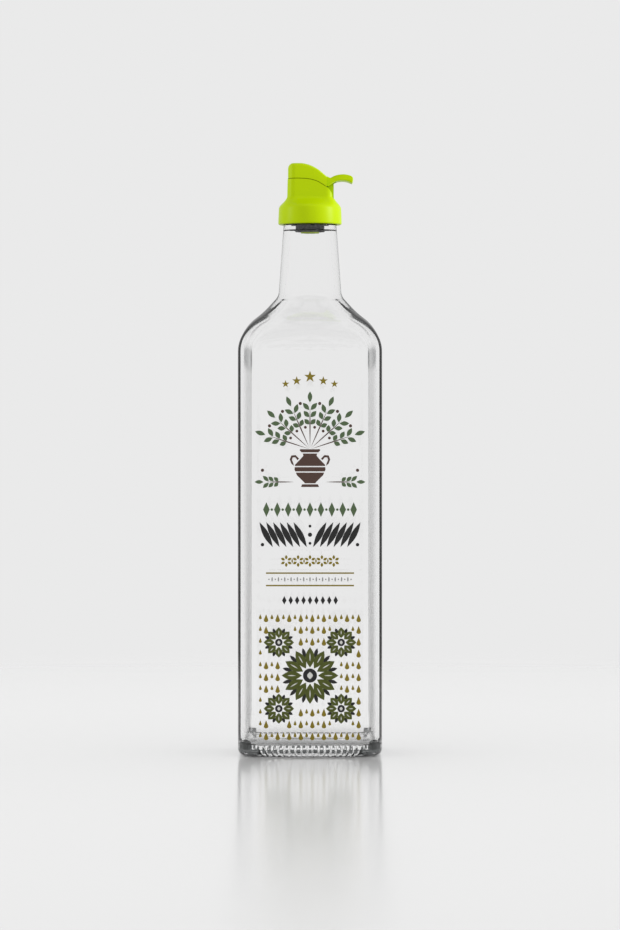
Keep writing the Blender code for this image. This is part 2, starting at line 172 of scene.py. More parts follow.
class FinishColours(bpy.types.PropertyGroup):
    """Colours of the pieces and of the printed front."""

    lime: colour("Lime", "Colour of the pourer and the lid", (171, 197, 0))
    rubber: colour("Rubber", "Colour of the stopper", (34, 34, 36))
    glass: colour("Glass", "Tint of the bottle", (255, 255, 255))
    # Painted shade: the glass's colour turns to this dark where it is seen at a shallow angle and on the
    # foot, in place of the dark edges that refraction gives.
    glass_edge_shade: colour("Glass edge", "Tint where the glass is seen at a shallow angle", (40, 42, 42))
    gold: colour("Gold ink", "Stars, rules and drops", (136, 119, 30))
    brown: colour("Brown ink", "Jar of the upper ornament", (82, 60, 52))
    green: colour("Green ink", "Leaves of the upper ornament", (84, 104, 72))
    black: colour("Black ink", "Heavy ornaments", (36, 36, 36))
    grey: colour("Grey ink", "Small dots between the rules", (160, 160, 158))
    olive: colour("Olive ink", "Leaves of the lower ornament", (80, 88, 30))
    pale: colour("Pale ink", "Highlights of the lower ornament", (222, 222, 216))
    backdrop: colour("Backdrop", "Colour of the studio", (234, 234, 234))


GROUPS = {
    "cruet_bottle": BottleSizes,
    "cruet_stopper": StopperSizes,
    "cruet_pourer": PourerSizes,
    "cruet_lid": LidSizes,
    "cruet_print": PrintSizes,
    "cruet_colours": FinishColours,
}

# Seam between the pourer and the lid, and the curves of the lid, as X and Z in millimetres
SEAM = [
    (-14.0, 299.65),
    (-11.5, 299.7),
    (-8.0, 299.75),
    (-5.2, 299.75),
    (-1.2, 299.5),
    (1.8, 298.9),
    (3.8, 298.2),
    (5.8, 297.1),
    (7.8, 295.8),
    (8.6, 295.3),
]
REAR_EDGE = [(9.3, 294.8), (10.4, 293.6), (11.2, 292.1), (11.6, 290.6), (11.85, 289.7)]
CROWN = [
    (-14.0, 307.82),
    (-5.2, 307.82),
    (-3.2, 307.65),
    (-1.2, 307.2),
    (0.8, 306.5),
    (2.8, 305.45),
    (4.8, 304.2),
    (6.8, 302.5),
    (8.8, 300.75),
]
LEVER_TOP = [
    (8.0, 301.15),
    (9.2, 300.75),
    (10.6, 300.15),
    (12.2, 300.9),
    (14.2, 301.6),
    (16.8, 301.95),
    (18.8, 301.85),
    (20.8, 301.4),
    (21.9, 300.8),
    (22.4, 300.1),
    (22.5, 299.1),
    (22.3, 298.1),
    (21.9, 297.5),
]
LEVER_BOTTOM = [
    (21.9, 297.5),
    (19.8, 298.35),
    (17.8, 298.75),
    (15.8, 298.75),
    (13.8, 298.35),
    (12.2, 297.55),
    (10.8, 296.6),
    (9.3, 295.8),
]
LEVER_ROOT = [(8.7, 295.8), (8.0, 296.8)]
SEAM_GAP = 0.3 * MM
LID_SWING = 50.0


# Modelling by hand in edit mode


def settings(name):
    return getattr(bpy.context.scene, name)


def start_piece():
    """Deselect everything, so that what is added next stands alone."""
    if bpy.context.mode != "OBJECT":
        bpy.ops.object.mode_set(mode="OBJECT")
    bpy.ops.object.select_all(action="DESELECT")


def edit_new(name):
    """Name the primitive that was just added and open it for editing."""
    obj = bpy.context.object
    obj.name = name
    obj.data.name = name
    bpy.ops.object.mode_set(mode="EDIT")
    bpy.ops.mesh.select_mode(type="VERT")
    return obj


def mesh_now():
    return bmesh.from_edit_mesh(bpy.context.object.data)


def select_where(test, kind="verts"):
    """Select only the points, edges or faces that pass a test."""
    modes = {"verts": "VERT", "edges": "EDGE", "faces": "FACE"}
    bpy.ops.mesh.select_mode(type=modes[kind])
    bpy.ops.mesh.select_all(action="DESELECT")
    bm = mesh_now()
    for item in getattr(bm, kind):
        if test(item):
            item.select_set(True)
    bm.select_flush_mode()
    bmesh.update_edit_mesh(bpy.context.object.data)


def selected_box():
    points = [v.co for v in mesh_now().verts if v.select]
    low = Vector([min(p[i] for p in points) for i in range(3)])
    high = Vector([max(p[i] for p in points) for i in range(3)])
    return low, high


def fit_selected(low, high):
    """Scale and move the selected points so that they just fill a box."""
    now_low, now_high = selected_box()
    scale = []
    for i in range(3):
        spread = now_high[i] - now_low[i]
        scale.append((high[i] - low[i]) / spread if spread > 1e-7 else 1.0)
    bpy.ops.transform.resize(value=scale, center_override=now_low)
    bpy.ops.transform.translate(value=Vector(low) - now_low)


def start_ring(name, half_x, half_y, corner, z, corner_steps=12, flat_steps=24):
    """An open ring round a rectangle with round corners, ready to be drawn upwards."""
    start_piece()
    bpy.ops.mesh.primitive_plane_add(size=2.0, location=(0, 0, 0))
    obj = edit_new(name)
    bpy.ops.mesh.select_all(action="SELECT")
    fit_selected((-half_x, -half_y, 0.0), (half_x, half_y, 0.0))
    bpy.ops.mesh.bevel(
        offset=corner, segments=corner_steps, affect="VERTICES", clamp_overlap=False
    )
    bpy.ops.mesh.select_all(action="SELECT")
    bpy.ops.mesh.delete(type="ONLY_FACE")
    longest = min(half_x, half_y) - corner
    select_where(lambda e: e.calc_length() > longest, "edges")
    bpy.ops.mesh.subdivide(number_cuts=flat_steps - 1)
    bpy.ops.mesh.select_mode(type="VERT")
    bpy.ops.mesh.select_all(action="SELECT")
    bpy.ops.transform.translate(value=(0, 0, z))
    return obj


def start_circle(name, radius, z, steps=96):
    """An open circle, ready to be drawn upwards."""
    start_piece()
    bpy.ops.mesh.primitive_circle_add(vertices=steps, radius=radius, location=(0, 0, 0))
    obj = edit_new(name)
    bpy.ops.mesh.select_all(action="SELECT")
    bpy.ops.transform.translate(value=(0, 0, z))
    return obj


def grow_ring(z, half_x, half_y=None, roundness=0.0, shift_x=0.0):
    """Extrude the selected ring, turn it towards a circle by a share and fit its size."""
    half_y = half_x if half_y is None else half_y
    bpy.ops.mesh.extrude_region_move()
    if roundness > 0:
        bpy.ops.transform.tosphere(value=min(roundness, 1.0))
    fit_selected((shift_x - half_x, -half_y, z), (shift_x + half_x, half_y, z))


def grow_circles(profile):
    """Extrude the selected circle through pairs of radius and height."""
    for radius, z in profile:
        grow_ring(z, radius)


def close_holes():
    """Fill every hole that is left in the mesh."""
    bpy.ops.mesh.select_all(action="SELECT")
    bpy.ops.mesh.fill_holes(sides=0)


def draw_outline(name, points):
    """A closed flat outline of X and Z, drawn point by point from one corner, and filled."""
    start_piece()
    bpy.ops.mesh.primitive_plane_add(size=1.0, location=(0, 0, 0))
    obj = edit_new(name)
    bpy.ops.mesh.select_all(action="SELECT")
    bpy.ops.mesh.merge(type="CENTER")
    bpy.ops.mesh.select_all(action="SELECT")
    corners = [Vector((x, 0.0, z)) for x, z in points]
    bpy.ops.transform.translate(value=corners[0])
    for here, after in zip(corners, corners[1:]):
        bpy.ops.mesh.extrude_region_move(TRANSFORM_OT_translate={"value": after - here})
    bpy.ops.mesh.select_all(action="SELECT")
    bpy.ops.mesh.edge_face_add()
    return obj


def stamp(name, outline, places, depth):
    """Draw an outline once and copy it to places: x, z, width, height and turn in degrees.

    The outline is one millimetre in size, places and sizes are in millimetres and depth is
    how far the front of the piece lies before the plane of the print.
    """
    obj = draw_outline(name, [(x * MM, z * MM) for x, z in outline])
    front = GLASS_FRONT - depth
    back = GLASS_FRONT + settings("cruet_print").bite
    draw_out(front - back, back)
    count = len(mesh_now().verts)
    for x, z, wide, tall, turn in places:
        select_first(count)
        bpy.ops.mesh.duplicate()
        centre = (0, 0, 0)
        bpy.ops.transform.resize(value=(wide, 1, tall), center_override=centre)
        if turn:
            bpy.ops.transform.rotate(
                value=-math.radians(turn), orient_axis="Y", center_override=centre
            )
        bpy.ops.transform.translate(value=(x * MM, 0, z * MM))
    select_first(count)
    bpy.ops.mesh.delete(type="VERT")
    face_outwards()
    close_edit()
    return obj


def select_first(count):
    """Select the points that were made first."""
    bpy.ops.mesh.select_mode(type="VERT")
    bpy.ops.mesh.select_all(action="DESELECT")
    bm = mesh_now()
    for number, vert in enumerate(bm.verts):
        if number == count:
            break
        vert.select_set(True)
    bm.select_flush_mode()
    bmesh.update_edit_mesh(bpy.context.object.data)


def draw_out(distance_y, start_y=0.0):
    """Give the outline that is being edited a thickness along Y."""
    bpy.ops.mesh.select_all(action="SELECT")
    bpy.ops.transform.translate(value=(0, start_y, 0))
    bpy.ops.mesh.extrude_region_move(TRANSFORM_OT_translate={"value": (0, distance_y, 0)})
    face_outwards()


def face_outwards():
    bpy.ops.mesh.select_all(action="SELECT")
    bpy.ops.mesh.normals_make_consistent(inside=False)


def close_edit():
    bpy.ops.object.mode_set(mode="OBJECT")


def arc(centre_x, centre_z, radius, start, end, steps):
    """Points on a circle, from one angle in degrees to another."""
    points = []
    for step in range(steps + 1):
        angle = math.radians(start + (end - start) * step / steps)
        points.append((centre_x + radius * math.cos(angle), centre_z + radius * math.sin(angle)))
    return points


def smooth_line(points, steps=4):
    """Points in millimetres joined by a smooth curve through them, in metres."""
    points = [Vector(p) * MM for p in points]
    padded = [2 * points[0] - points[1], *points, 2 * points[-1] - points[-2]]
    curve = []
    for before, a, b, after in zip(padded, padded[1:], padded[2:], padded[3:]):
        for step in range(steps):
            t = step / steps
            spread = (2 * a) + (b - before) * t
            spread += (2 * before - 5 * a + 4 * b - after) * t**2
            spread += (3 * a - before - 3 * b + after) * t**3
            curve.append(tuple(0.5 * spread))
    curve.append(tuple(points[-1]))
    return curve


def height_on(line, x):
    """The height of a line of points at a given reach."""
    if x <= line[0][0]:
        return line[0][1]
    for (x0, z0), (x1, z1) in zip(line, line[1:]):
        if x <= x1:
            return z0 + (z1 - z0) * (x - x0) / (x1 - x0)
    return line[-1][1]


def apply_boolean(obj, other, operation):
    """Cut or join with another object, which is then removed."""
    bpy.ops.object.select_all(action="DESELECT")
    bpy.context.view_layer.objects.active = obj
    obj.select_set(True)
    modifier = obj.modifiers.new(operation.title(), "BOOLEAN")
    modifier.operation = operation
    modifier.solver = "EXACT"
    modifier.object = other
    bpy.ops.object.modifier_apply(modifier=modifier.name)
    bpy.data.objects.remove(other, do_unlink=True)


def apply_modifier(obj, kind, **values):
    bpy.ops.object.select_all(action="DESELECT")
    bpy.context.view_layer.objects.active = obj
    obj.select_set(True)
    modifier = obj.modifiers.new(kind.title(), kind)
    for key, value in values.items():
        setattr(modifier, key, value)
    bpy.ops.object.modifier_apply(modifier=modifier.name)


def join_pieces(name, pieces):
    """Join pieces of one ink into one."""
    bpy.ops.object.select_all(action="DESELECT")
    for obj in pieces:
        obj.select_set(True)
    bpy.context.view_layer.objects.active = pieces[0]
    bpy.ops.object.join()
    pieces[0].name = name
    pieces[0].data.name = name
    return pieces[0]


def smooth(obj, degrees=30.0):
    bpy.ops.object.select_all(action="DESELECT")
    bpy.context.view_layer.objects.active = obj
    obj.select_set(True)
    bpy.ops.object.shade_smooth_by_angle(angle=math.radians(degrees))


def finish_piece(obj, material, body, replaces=()):
    """Give a piece its material, hide the parts of model.glb that it replaces, and attach it to the body
    that it rides on.
    """
    if material:
        obj.data.materials.clear()
        obj.data.materials.append(material)
    if replaces:
        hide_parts(*replaces)
    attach(obj, body)


# Materials


def new_material(name):
    """An empty material, its node tree and its output node."""
    material = bpy.data.materials.new(name)
    material.use_nodes = True
    tree = material.node_tree
    tree.nodes.clear()
    output = tree.nodes.new("ShaderNodeOutputMaterial")
    return material, tree, output


def moulded_surface():
    """Node group: faint mottling of colour, shine and height on a moulded surface."""
    name = "Moulded surface"
    if name in bpy.data.node_groups:
        return bpy.data.node_groups[name]
    group = bpy.data.node_groups.new(name, "ShaderNodeTree")
    sockets = group.interface
    for label, kind, default in (
        ("Colour", "NodeSocketColor", (1, 1, 1, 1)),
        ("Mottle", "NodeSocketFloat", 0.03),
        ("Patch Scale", "NodeSocketFloat", 60.0),
        ("Grain Scale", "NodeSocketFloat", 1500.0),
        ("Roughness", "NodeSocketFloat", 0.3),
        ("Roughness Spread", "NodeSocketFloat", 0.05),
    ):
        socket = sockets.new_socket(name=label, in_out="INPUT", socket_type=kind)
        socket.default_value = default
    for label, kind in (
        ("Colour", "NodeSocketColor"),
        ("Roughness", "NodeSocketFloat"),
        ("Height", "NodeSocketFloat"),
    ):
        sockets.new_socket(name=label, in_out="OUTPUT", socket_type=kind)
    nodes, links = group.nodes, group.links
    taken = nodes.new("NodeGroupInput")
    given = nodes.new("NodeGroupOutput")
    place = nodes.new("ShaderNodeTexCoord")
    patches = nodes.new("ShaderNodeTexNoise")
    patches.inputs["Detail"].default_value = 3.0
    grain = nodes.new("ShaderNodeTexNoise")
    grain.inputs["Detail"].default_value = 2.0
    links.new(place.outputs["Object"], patches.inputs["Vector"])
    links.new(place.outputs["Object"], grain.inputs["Vector"])
    links.new(taken.outputs["Patch Scale"], patches.inputs["Scale"])
    links.new(taken.outputs["Grain Scale"], grain.inputs["Scale"])
    centred = nodes.new("ShaderNodeMath")
    centred.operation = "SUBTRACT"
    centred.inputs[1].default_value = 0.5
    links.new(patches.outputs["Fac"], centred.inputs[0])
    strength = nodes.new("ShaderNodeMath")
    strength.operation = "MULTIPLY_ADD"
    strength.inputs[2].default_value = 1.0
    links.new(centred.outputs[0], strength.inputs[0])
    links.new(taken.outputs["Mottle"], strength.inputs[1])
    shaded = nodes.new("ShaderNodeVectorMath")
    shaded.operation = "SCALE"
    links.new(taken.outputs["Colour"], shaded.inputs[0])
    links.new(strength.outputs[0], shaded.inputs["Scale"])
    links.new(shaded.outputs[0], given.inputs["Colour"])
    rough = nodes.new("ShaderNodeMath")
    rough.operation = "MULTIPLY_ADD"
    links.new(centred.outputs[0], rough.inputs[0])
    links.new(taken.outputs["Roughness Spread"], rough.inputs[1])
    links.new(taken.outputs["Roughness"], rough.inputs[2])
    links.new(rough.outputs[0], given.inputs["Roughness"])
    links.new(grain.outputs["Fac"], given.inputs["Height"])
    return group


def moulded_material(name, tint, roughness, mottle, spread, grain_scale, bump, specular=0.5):
    """An opaque moulded or printed material that uses the moulded surface group."""
    if name in bpy.data.materials:
        return bpy.data.materials[name]
    material, tree, output = new_material(name)
    surface = tree.nodes.new("ShaderNodeGroup")
    surface.node_tree = moulded_surface()
    surface.inputs["Colour"].default_value = (*tint, 1.0)
    surface.inputs["Mottle"].default_value = mottle
    surface.inputs["Grain Scale"].default_value = grain_scale
    surface.inputs["Roughness"].default_value = roughness
    surface.inputs["Roughness Spread"].default_value = spread
    relief = tree.nodes.new("ShaderNodeBump")
    relief.inputs["Strength"].default_value = bump
    relief.inputs["Distance"].default_value = 0.0001
    shader = tree.nodes.new("ShaderNodeBsdfPrincipled")
    shader.inputs["Specular IOR Level"].default_value = specular
    links = tree.links
    links.new(surface.outputs["Colour"], shader.inputs["Base Color"])
    links.new(surface.outputs["Roughness"], shader.inputs["Roughness"])
    links.new(surface.outputs["Height"], relief.inputs["Height"])
    links.new(relief.outputs["Normal"], shader.inputs["Normal"])
    links.new(shader.outputs[0], output.inputs["Surface"])
    return material


def lime_plastic():
    tint = settings("cruet_colours").lime
    return moulded_material("Lime plastic", tint, 0.35, 0.05, 0.06, 900.0, 0.06, 0.08)


def rubber():
    tint = settings("cruet_colours").rubber
    return moulded_material("Black rubber", tint, 0.6, 0.2, 0.1, 2500.0, 0.3)


def ink(name):
    tint = getattr(settings("cruet_colours"), name)
    return moulded_material(f"{name.title()} ink", tint, 0.5, 0.12, 0.1, 3000.0, 0.1, 0.3)


def height_band():
    """Node group: a share that rises between two heights and falls between two others."""
    name = "Height band"
    if name in bpy.data.node_groups:
        return bpy.data.node_groups[name]
    group = bpy.data.node_groups.new(name, "ShaderNodeTree")
    labels = ("Rise Start", "Rise End", "Fall Start", "Fall End")
    for label in labels:
        group.interface.new_socket(name=label, in_out="INPUT", socket_type="NodeSocketFloat")
    group.interface.new_socket(name="Share", in_out="OUTPUT", socket_type="NodeSocketFloat")
    nodes, links = group.nodes, group.links
    taken = nodes.new("NodeGroupInput")
    given = nodes.new("NodeGroupOutput")
    place = nodes.new("ShaderNodeTexCoord")
    split = nodes.new("ShaderNodeSeparateXYZ")
    links.new(place.outputs["Object"], split.inputs[0])
    both = nodes.new("ShaderNodeMath")
    both.operation = "MULTIPLY"
    for number, (start, end) in enumerate((labels[:2], (labels[3], labels[2]))):
        ease = nodes.new("ShaderNodeMapRange")
        ease.interpolation_type = "SMOOTHSTEP"
        links.new(split.outputs["Z"], ease.inputs["Value"])
        links.new(taken.outputs[start], ease.inputs["From Min"])
        links.new(taken.outputs[end], ease.inputs["From Max"])
        links.new(ease.outputs[0], both.inputs[number])
    links.new(both.outputs[0], given.inputs["Share"])
    return group


def clear_glass(name, edge_start, edge_end, wider, widening, reach):
    """Clear glass that lets lamps through, with shade painted into its colour where it is seen at a
    shallow angle.

    The painted dark edge lies between two facing values. In one band of heights it starts earlier, and
    outside another it isn't drawn.
    """
    if name in bpy.data.materials:
        return bpy.data.materials[name]
    material, tree, output = new_material(name)
    nodes, links = tree.nodes, tree.links
    shader = nodes.new("ShaderNodeBsdfPrincipled")
    angle = nodes.new("ShaderNodeLayerWeight")
    shares = []
    for band in (wider, reach):
        heights = nodes.new("ShaderNodeGroup")
        heights.node_tree = height_band()
        for socket, value in zip(heights.inputs, band):
            socket.default_value = value * MM
        shares.append(heights.outputs["Share"])
    clear = (*settings("cruet_colours").glass, 1.0)
    dark = (*settings("cruet_colours").glass_edge_shade, 1.0)
    widen = nodes.new("ShaderNodeMath")
    widen.operation = "MULTIPLY_ADD"
    widen.inputs[1].default_value = widening
    # Painted shade: the base colour ramps from clear to the dark edge colour as the surface turns away
    # from the view.
    edge = nodes.new("ShaderNodeValToRGB")
    edge.color_ramp.interpolation = "EASE"
    edge.color_ramp.elements[0].position = edge_start
    edge.color_ramp.elements[0].color = clear
    edge.color_ramp.elements[1].position = edge_end
    edge.color_ramp.elements[1].color = dark
    links.new(shares[0], widen.inputs[0])
    links.new(angle.outputs["Facing"], widen.inputs[2])
    links.new(widen.outputs[0], edge.inputs["Fac"])
    within = nodes.new("ShaderNodeMixRGB")
    within.inputs["Color1"].default_value = clear
    links.new(shares[1], within.inputs["Fac"])
    links.new(edge.outputs["Color"], within.inputs["Color2"])
    links.new(within.outputs[0], shader.inputs["Base Color"])
    shader.inputs["Roughness"].default_value = 0.0
    shader.inputs["IOR"].default_value = 1.5
    shader.inputs["Transmission Weight"].default_value = 1.0
    through = nodes.new("ShaderNodeBsdfTransparent")
    path = nodes.new("ShaderNodeLightPath")
    mix = nodes.new("ShaderNodeMixShader")
    links.new(path.outputs["Is Shadow Ray"], mix.inputs[0])
    links.new(shader.outputs[0], mix.inputs[1])
    links.new(through.outputs[0], mix.inputs[2])
    links.new(mix.outputs[0], output.inputs["Surface"])
    return material


# The bottle


def hollow_arc(centre_x, centre_z, radius, start, end, steps):
    """Half width and height along an arc that curves in, whose centre is outside the glass."""
    for step in range(steps + 1):
        angle = math.radians(start + (end - start) * step / steps)
        yield centre_x - radius * math.cos(angle), centre_z - radius * math.sin(angle)


def shoulder_line(sizes, offset, steps):
    """Half width and height up the shoulder and its fillet, moved inwards by an offset."""
    start = BOTTLE_HIGH.x - GLASS_INSET - sizes.shoulder_radius
    for step in range(steps):
        angle = math.radians(SHOULDER_SLOPE * step / steps)
        reach = sizes.shoulder_radius - offset
        yield start + reach * math.cos(angle), sizes.shoulder_start + reach * math.sin(angle)
    slope = math.radians(SHOULDER_SLOPE)
    across = sizes.shoulder_radius + sizes.hollow_radius
    hollow_x = start + across * math.cos(slope)
    hollow_z = sizes.shoulder_start + across * math.sin(slope)
    radius = sizes.hollow_radius + offset
    yield from hollow_arc(hollow_x, hollow_z, radius, SHOULDER_SLOPE, CONE_SLOPE, 6)
    taper = math.atan(NECK_TAPER)
    fillet_x = sizes.neck_radius + sizes.neck_fillet * math.cos(taper)
    fillet_z = BOTTLE_HIGH.z + sizes.neck_fillet * math.sin(taper)
    radius = sizes.neck_fillet + offset
    yield from hollow_arc(fillet_x, fillet_z, radius, CONE_SLOPE, math.degrees(taper), steps)


def grow_shoulder(line, full_half, round_half):
    """Draw a ring up the shoulder while its section turns into a circle."""
    done = 0.0
    for half, z in line:
        share = min(max((full_half - half) / (full_half - round_half), 0.0), 1.0)
        step = (share - done) / (1.0 - done) if done < 1.0 else 1.0
        grow_ring(z, half, roundness=step)
        done = share


NECK_TAPER = 0.0725
SHOULDER_SLOPE = 53.0
CONE_SLOPE = 43.0
FLAT_STEPS = 105
GLASS_INSET = 0.06 * MM
# Half width and height of the hollow underside, as shares of the bottle's half and of its push-up
UNDERSIDE = [(0.45, 0.95), (0.6, 0.8), (0.7, 0.55), (0.76, 0.28), (0.79, 0.07), (0.81, 0.0)]
# Heights in millimetres where the painted edge shade starts to rise, is full, starts to fall and ends
SHOULDER_BAND = (210, 216, 224, 232)
OUTSIDE_BAND = (-20, -10, 236, 246)
INNER_CORNER_BAND = (198, 205, 208, 214)
INSIDE_BAND = (11, 20, 210, 216)
EVERYWHERE = (-20, -10, 400, 410)
# The teeth, in pitches: where the row ends, half a notch, and half the gap left clear between the
# painted shade on the teeth
LAST_NOTCH = 8.6
HALF_NOTCH = 0.14
HALF_GAP = 0.17
GLASS_FRONT = BOTTLE_LOW.y + GLASS_INSET


class CRUET_OT_glass(bpy.types.Operator):
    """Model the bottle's glass: the outside with its toothed heel, less the inside."""

    bl_idname = "cruet.glass"
    bl_label = "Glass bottle"

    def execute(self, context):
        sizes = settings("cruet_bottle")
        half = BOTTLE_HIGH.x - GLASS_INSET
        bottle = self.outside(sizes, half)
        inside = self.inside(sizes, half - sizes.wall)
        # Painted shade: dark edges on the outside, widened over the shoulder, dark lines at the inside
        # corners of the body, and a foot glass that is dark all over.
        outer = clear_glass("Clear glass", 0.76, 0.83, SHOULDER_BAND, 0.22, OUTSIDE_BAND)
        inner = clear_glass("Clear glass inside", 0.6, 1.0, INNER_CORNER_BAND, 0.2, INSIDE_BAND)
        foot = clear_glass("Clear glass foot", 0.0, 0.02, EVERYWHERE, 0.0, EVERYWHERE)
        for obj in (bottle, inside):
            for material in (outer, inner, foot):
                obj.data.materials.append(material)
        # Faces on the teeth and low on the heel corners take the foot glass, whose dark colour is
        # painted shade.
        for face in bottle.data.polygons:
            face.material_index = 2 if self.on_foot(sizes, half, face.center) else 0
        for face in inside.data.polygons:
            face.material_index = 1
        apply_boolean(bottle, inside, "DIFFERENCE")
        smooth(bottle, 50.0)
        finish_piece(bottle, None, BODY, ["bottle", "neck"])
        return {"FINISHED"}

    def outside(self, sizes, half):
        """From the middle of the underside round the heel and up to the lip."""
        ratio = 6.0 * MM / half
        bottle = start_ring(
            "glass_bottle",
            half * ratio,
            half * ratio,
            sizes.corner * ratio,
            sizes.push_up,
            flat_steps=FLAT_STEPS,
        )
        for share, height in UNDERSIDE:
            grow_ring(sizes.push_up * height, half * share)
        heel_centre = half - sizes.heel
        steps = 9
        for step in range(steps + 1):
            angle = 0.5 * math.pi * step / steps
            grow_ring(sizes.heel * (1 - math.cos(angle)), heel_centre + sizes.heel * math.sin(angle))
        grow_ring(8 * MM, half)
        grow_ring(20 * MM, half)
        line = list(shoulder_line(sizes, 0.0, 14))
        grow_ring(line[0][1] - 10 * MM, half)
        grow_shoulder(line, half, sizes.neck_radius)
        top = NECK_HIGH.z
        lip = sizes.neck_radius - NECK_TAPER * (top - BOTTLE_HIGH.z)
        grow_circles([(lip + 14 * MM * NECK_TAPER, top - 14 * MM), (lip, top - 0.8 * MM)])
        grow_circles([(lip - 0.25 * MM, top - 0.25 * MM), (lip - 0.8 * MM, top)])
        close_holes()
        face_outwards()
        self.press_notches(sizes, half)
        close_edit()
        return bottle

    def press_notches(self, sizes, half):
        """Press narrow notches into the heel, which leaves a row of teeth on each side."""
        centre = half - sizes.heel

        def in_notch(vert):
            x, y, z = vert.co
            if z > 0.86 * sizes.heel:
                return False
            across, along = (abs(x), y) if abs(x) > abs(y) else (abs(y), x)
            if across < centre - 1.2 * MM:
                return False
            column = along * half / across
            if abs(column) > LAST_NOTCH * sizes.tooth_pitch:
                return False
            from_notch = abs((column / sizes.tooth_pitch) % 1.0 - 0.5)
            return from_notch < HALF_NOTCH

        select_where(in_notch)
        bpy.ops.transform.shrink_fatten(value=-sizes.tooth_depth)

    def on_foot(self, sizes, half, spot):
        """Whether a spot lies on the face of a tooth, or low on a corner of the heel, where the glass
        gets painted shade.
        """
        x, y, z = spot
        across, along = (abs(x), y) if abs(x) > abs(y) else (abs(y), x)
        if across < half - 0.75 * sizes.heel:
            return False
        column = along * half / across / sizes.tooth_pitch
        if abs(column) > LAST_NOTCH:
            return 1.0 * MM < z < (4.4 + 1.1 * (abs(column) - LAST_NOTCH)) * MM
        return 2.0 * MM < z < 4.6 * MM and abs(column % 1.0 - 0.5) > HALF_GAP

    def inside(self, sizes, half):
        """From the middle of the inner floor up the walls and out of the mouth."""
        ratio = 5.0 * MM / half
        inside = start_ring(
            "glass_inside",
            half * ratio,
            half * ratio,
            sizes.inside_corner * ratio,
            sizes.floor_centre,
            flat_steps=FLAT_STEPS,
        )
        fillet = 4.0 * MM
        flat_half = half - fillet
        for share in (0.35, 0.55, 0.75, 0.9):
            z = sizes.floor_centre - (sizes.floor_centre - sizes.floor_edge) * share**2
            grow_ring(z, flat_half * share)
        for step in range(9):
            angle = 0.5 * math.pi * step / 8
            z = sizes.floor_edge + fillet * (1 - math.cos(angle))
            grow_ring(z, flat_half + fillet * math.sin(angle))
        line = list(shoulder_line(sizes, sizes.wall, 14))
        grow_ring(line[0][1] - 10 * MM, half)
        neck = sizes.neck_radius - sizes.wall
        grow_shoulder(line, half, neck)
        grow_circles([(sizes.bore, 262 * MM), (sizes.bore, NECK_HIGH.z + 5 * MM)])
        close_holes()
        face_outwards()
        close_edit()
        return inside


class CRUET_OT_stopper(bpy.types.Operator):
    """Model the rubber stopper, whose fin and plug press into the glass."""

    bl_idname = "cruet.stopper"
    bl_label = "Rubber stopper"

    def execute(self, context):
        sizes = settings("cruet_stopper")
        tube = settings("cruet_pourer").tube + 0.3 * MM
        bore = settings("cruet_bottle").bore
        low_fin = sizes.fin - 0.5 * sizes.fin_thickness
        high_fin = sizes.fin + 0.5 * sizes.fin_thickness
        flange = NECK_HIGH.z + 0.3 * MM
        rim = sizes.waist + 0.2 * MM
        pressed = bore + 0.15 * MM
        stopper = start_circle("rubber_stopper", tube, flange + 1.2 * MM)
        grow_circles(
            [
                (tube, sizes.bottom),
                (rim - 0.3 * MM, sizes.bottom),
                (rim - 0.09 * MM, sizes.bottom + 0.09 * MM),
                (rim, sizes.bottom + 0.3 * MM),
                (rim, sizes.bottom + 0.5 * MM),
                (sizes.waist, low_fin),
                (pressed - 0.1 * MM, low_fin),
                (pressed, sizes.fin),
                (pressed - 0.1 * MM, high_fin),
                (sizes.waist, high_fin),
                (sizes.waist, sizes.tier),
                (bore - 1.2 * MM, sizes.tier),
                (bore - 1.2 * MM, sizes.plug),
                (pressed - 0.1 * MM, sizes.plug),
                (pressed, sizes.plug + 0.1 * MM),
                (pressed, flange),
                (bore + 2.0 * MM, flange),
                (bore + 2.0 * MM, flange + 1.2 * MM),
                (tube, flange + 1.2 * MM),
            ]
        )
        bpy.ops.mesh.select_all(action="SELECT")
        bpy.ops.mesh.remove_doubles(threshold=1e-6)
        face_outwards()
        close_edit()
        smooth(stopper)
        finish_piece(stopper, rubber(), BODY, ["stopper"])
        return {"FINISHED"}


